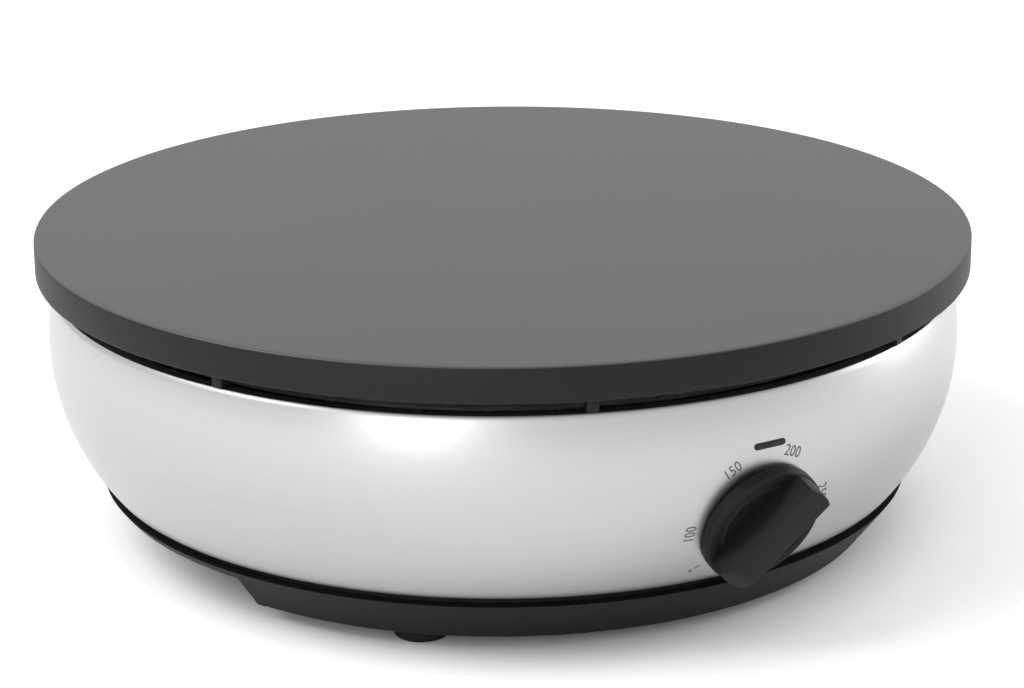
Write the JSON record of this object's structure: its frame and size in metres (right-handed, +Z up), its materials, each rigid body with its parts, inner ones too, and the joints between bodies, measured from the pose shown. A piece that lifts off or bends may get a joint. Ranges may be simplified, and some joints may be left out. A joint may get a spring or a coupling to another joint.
{
  "type": "electric crepe maker",
  "caption": "Round countertop crepe griddle: cast plate on a bowl-shaped steel shell, moulded base with hand recesses and a turning thermostat knob.",
  "frame": {"origin": "middle of the object's footprint on the table, level with the undersides of the feet", "axes": "+Z up, -Y towards the control knob at the front, +X to the right of a person facing the knob"},
  "size_m": [0.35, 0.359, 0.1155],
  "materials": {
    "griddle_coating": "satin non-stick coating on cast aluminium",
    "element_sheath": "heat-darkened sheath",
    "zinc_steel": "zinc plated",
    "shield_steel": "bright rolled sheet",
    "shell_steel": "brushed",
    "base_plastic": "fine moulded texture",
    "foot_rubber": "matte",
    "ceramic": "glazed",
    "brass": "turned",
    "spindle_steel": "turned",
    "knob_plastic": "fine moulded texture",
    "lens_clear": "smoked clear",
    "lamp_glass": "clear",
    "gland_rubber": "matte",
    "block_plastic": "satin",
    "lead_brown": "silicone",
    "lead_blue": "silicone",
    "lead_green": "silicone"
  },
  "bodies": {
    "housing": {"griddle_plate": "griddle_coating", "heating_element": "element_sheath", "element_clamps": "zinc_steel", "clamp_screws": "zinc_steel", "heat_shield": "shield_steel", "steel_shell": "shell_steel", "base_pan": "base_plastic", "foot_front_right": "foot_rubber", "foot_rear_right": "foot_rubber", "foot_rear_left": "foot_rubber", "foot_front_left": "foot_rubber", "foot_screws": "zinc_steel", "tie_bolts": "zinc_steel", "spacer_tubes": "zinc_steel", "thermostat_bracket": "zinc_steel", "thermostat_body": "ceramic", "thermostat_bush": "brass", "thermostat_screws": "zinc_steel", "indicator_lens": "lens_clear", "indicator_lamp": "lamp_glass", "cord_gland": "gland_rubber", "terminal_block": "block_plastic", "terminal_screws": "brass", "earth_stud": "brass", "earth_nut": "brass", "supply_lead": "lead_brown", "switched_lead": "lead_brown", "return_lead": "lead_blue", "earth_lead": "lead_green"},
    "knob": {"control_knob": "knob_plastic", "thermostat_spindle": "spindle_steel"}
  },
  "joints": [
    {"name": "knob_turn", "type": "hinge", "parent": "housing", "child": "knob", "pos_m": [0, -0.16156, 0.04855], "axis": [0, -0.9379, -0.3469], "range_deg": [-218, 0]}
  ]
}
